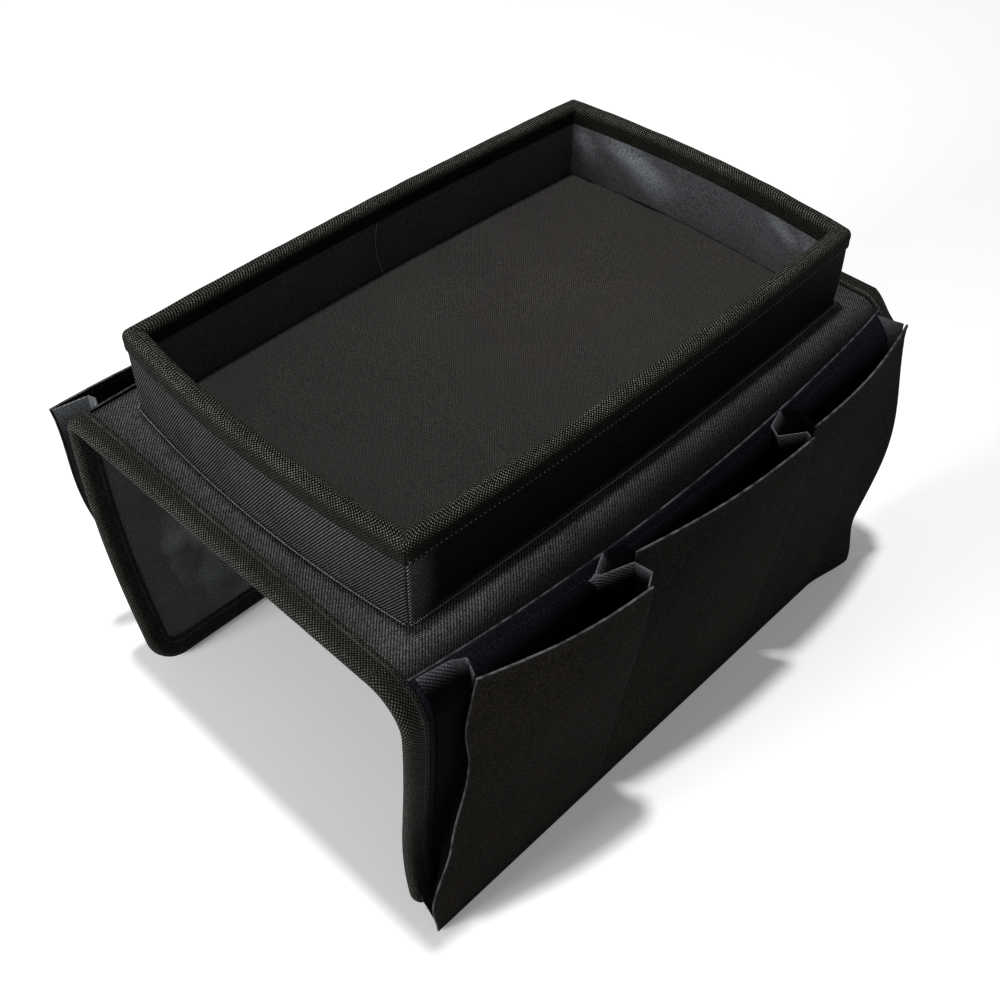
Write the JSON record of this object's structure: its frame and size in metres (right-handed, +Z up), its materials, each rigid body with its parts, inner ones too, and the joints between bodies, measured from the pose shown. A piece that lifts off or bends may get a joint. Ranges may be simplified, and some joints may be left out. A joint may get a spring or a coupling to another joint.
{
  "type": "armrest organizer",
  "caption": "Black fabric caddy that drapes over a sofa arm: stiffened saddle, boarded open tray on top and bellows pockets on both hanging flaps.",
  "frame": {"origin": "middle of the bounding box's footprint, on the floor level that the hems stand on", "axes": "+X across the sofa arm, towards the side whose pocket row shows in the picture; +Y along the arm, away from the viewer; +Z up"},
  "size_m": [0.2675, 0.3378, 0.2027],
  "materials": {
    "cover": "matt woven",
    "tape": "ribbed tape",
    "lining": "soft satin",
    "pocket": "matt smooth",
    "gusset": "matt twill",
    "pad": "matt woven",
    "board": "matt"
  },
  "bodies": {
    "saddle": {"top_board": "board", "top_cover": "cover", "top_lining": "lining", "top_front_binding": "tape", "top_rear_binding": "tape", "tray_floor_board": "board", "tray_floor_pad": "pad", "tray_front_board": "board", "tray_rear_board": "board", "tray_left_board": "board", "tray_right_board": "board", "tray_outer_band": "cover", "tray_inner_band": "lining", "tray_rim_binding": "tape", "right_fold_cover": "cover", "right_fold_lining": "lining", "right_fold_front_binding": "tape", "right_fold_rear_binding": "tape", "right_pocket_back_hem": "pocket", "left_fold_cover": "cover", "left_fold_lining": "lining", "left_fold_front_binding": "tape", "left_fold_rear_binding": "tape", "left_pocket_back_hem": "pocket"},
    "right_flap": {"right_flap_board": "board", "right_flap_cover": "cover", "right_flap_lining": "lining", "right_flap_binding": "tape", "right_pocket_back": "pocket", "right_pocket_base": "pocket", "right_pocket_1_start_gusset": "gusset", "right_pocket_1_end_gusset": "gusset", "right_pocket_2_start_gusset": "gusset", "right_pocket_2_end_gusset": "gusset", "right_pocket_3_start_gusset": "gusset", "right_pocket_3_end_gusset": "gusset"},
    "right_pocket_1_panel": {"right_pocket_1_front": "pocket"},
    "right_pocket_2_panel": {"right_pocket_2_front": "pocket"},
    "right_pocket_3_panel": {"right_pocket_3_front": "pocket"},
    "left_flap": {"left_flap_board": "board", "left_flap_cover": "cover", "left_flap_lining": "lining", "left_flap_binding": "tape", "left_pocket_back": "pocket", "left_pocket_base": "pocket", "left_pocket_1_start_gusset": "gusset", "left_pocket_1_end_gusset": "gusset", "left_pocket_2_start_gusset": "gusset", "left_pocket_2_end_gusset": "gusset", "left_pocket_3_start_gusset": "gusset", "left_pocket_3_end_gusset": "gusset"},
    "left_pocket_1_panel": {"left_pocket_1_front": "pocket"},
    "left_pocket_2_panel": {"left_pocket_2_front": "pocket"},
    "left_pocket_3_panel": {"left_pocket_3_front": "pocket"}
  },
  "joints": [
    {"name": "right_flap_fold", "type": "hinge", "parent": "saddle", "child": "right_flap", "pos_m": [0.10484, 0, 0.15323], "axis": [0, -1, 0], "range_deg": [-25, 90], "deforming": ["right_fold_cover", "right_fold_lining", "right_fold_front_binding", "right_fold_rear_binding", "right_pocket_back_hem"]},
    {"name": "right_pocket_1_gape", "type": "hinge", "parent": "right_flap", "child": "right_pocket_1_panel", "pos_m": [0.11992, -0.11427, 0.0003], "axis": [0, 1, 0], "range_deg": [-1, 8], "stiffness_Nm_per_rad": 0.03, "deforming": ["right_pocket_1_start_gusset", "right_pocket_1_end_gusset"]},
    {"name": "right_pocket_2_gape", "type": "hinge", "parent": "right_flap", "child": "right_pocket_2_panel", "pos_m": [0.11992, -0.00516, 0.0003], "axis": [0, 1, 0], "range_deg": [-1.5, 8], "stiffness_Nm_per_rad": 0.03, "deforming": ["right_pocket_2_start_gusset", "right_pocket_2_end_gusset"]},
    {"name": "right_pocket_3_gape", "type": "hinge", "parent": "right_flap", "child": "right_pocket_3_panel", "pos_m": [0.11992, 0.09771, 0.0003], "axis": [0, 1, 0], "range_deg": [-0.5, 8], "stiffness_Nm_per_rad": 0.03, "deforming": ["right_pocket_3_start_gusset", "right_pocket_3_end_gusset"]},
    {"name": "left_flap_fold", "type": "hinge", "parent": "saddle", "child": "left_flap", "pos_m": [-0.1059, 0, 0.15602], "axis": [0, 1, 0], "range_deg": [-17, 98], "deforming": ["left_fold_cover", "left_fold_lining", "left_fold_front_binding", "left_fold_rear_binding", "left_pocket_back_hem"]},
    {"name": "left_pocket_1_gape", "type": "hinge", "parent": "left_flap", "child": "left_pocket_1_panel", "pos_m": [-0.09695, 0.11427, 0.0003], "axis": [0, -1, 0], "range_deg": [-3, 7], "stiffness_Nm_per_rad": 0.03, "deforming": ["left_pocket_1_start_gusset", "left_pocket_1_end_gusset"]},
    {"name": "left_pocket_2_gape", "type": "hinge", "parent": "left_flap", "child": "left_pocket_2_panel", "pos_m": [-0.09695, 0.00516, 0.0003], "axis": [0, -1, 0], "range_deg": [-2.25, 7], "stiffness_Nm_per_rad": 0.03, "deforming": ["left_pocket_2_start_gusset", "left_pocket_2_end_gusset"]},
    {"name": "left_pocket_3_gape", "type": "hinge", "parent": "left_flap", "child": "left_pocket_3_panel", "pos_m": [-0.09695, -0.09771, 0.0003], "axis": [0, -1, 0], "range_deg": [-5, 7], "stiffness_Nm_per_rad": 0.03, "deforming": ["left_pocket_3_start_gusset", "left_pocket_3_end_gusset"]}
  ]
}
